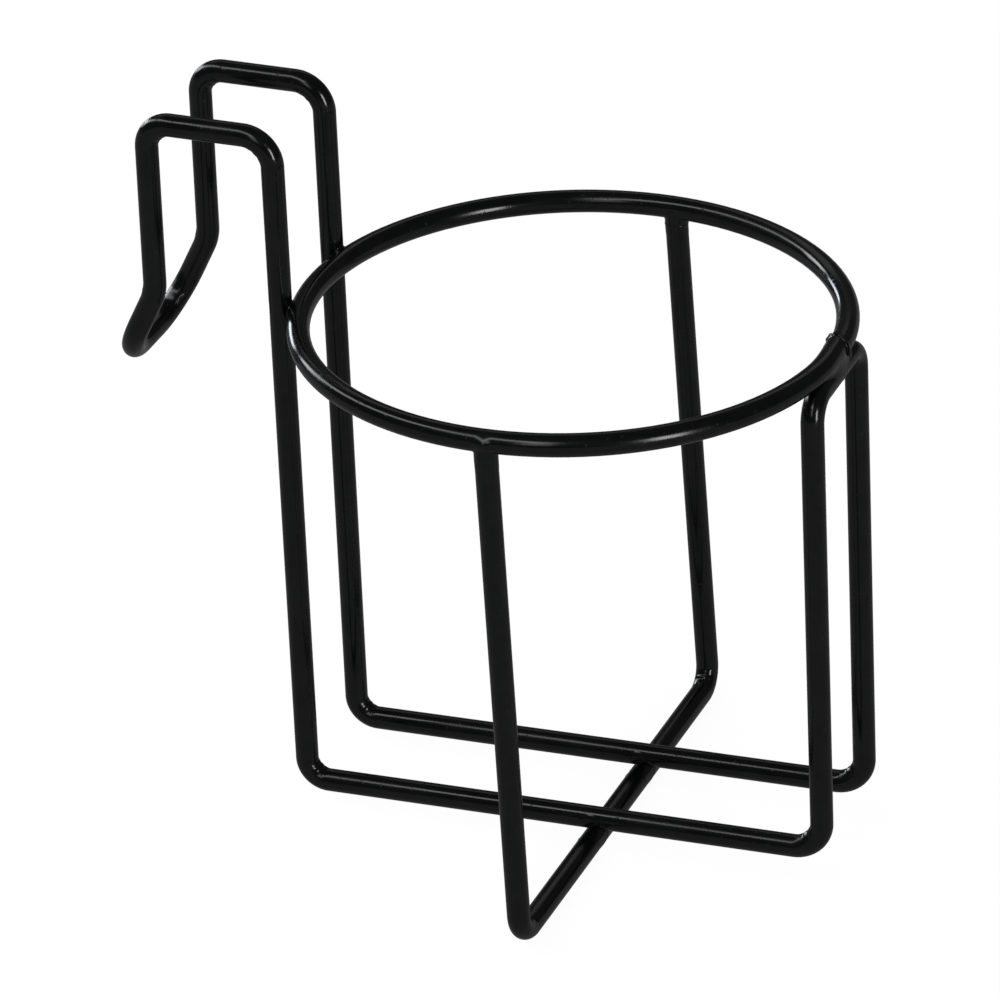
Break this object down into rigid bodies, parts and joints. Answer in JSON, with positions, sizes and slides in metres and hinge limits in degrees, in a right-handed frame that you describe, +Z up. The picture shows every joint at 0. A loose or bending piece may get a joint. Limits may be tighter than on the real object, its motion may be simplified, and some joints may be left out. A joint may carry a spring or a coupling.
{
  "type": "hook-over wire cup holder",
  "caption": "Wire cup holder: a hook that hangs over a desk or panel edge, a round ring that takes the cup, and bottom rails with a cross wire that carry it.",
  "frame": {"origin": "middle of the hook, on the plane where the undersides of the top bars rest on the edge of the desk or panel", "axes": "+Z up, +X away from the edge towards the cup, +Y to the left"},
  "size_m": [0.1303, 0.0986, 0.1304],
  "materials": {
    "coated_wire": "gloss black coating on round steel wire",
    "coated_weld": "gloss black coating over a small weld"
  },
  "bodies": {
    "root": {"frame_wire": "coated_wire", "cup_ring": "coated_wire", "cradle_wire": "coated_wire", "frame_butt_weld": "coated_weld", "ring_butt_weld": "coated_weld", "ring_to_front_bar_weld": "coated_weld", "ring_to_left_leg_weld": "coated_weld", "ring_to_right_leg_weld": "coated_weld", "left_post_weld": "coated_weld", "right_post_weld": "coated_weld", "left_rail_weld": "coated_weld", "right_rail_weld": "coated_weld"}
  },
  "joints": []
}
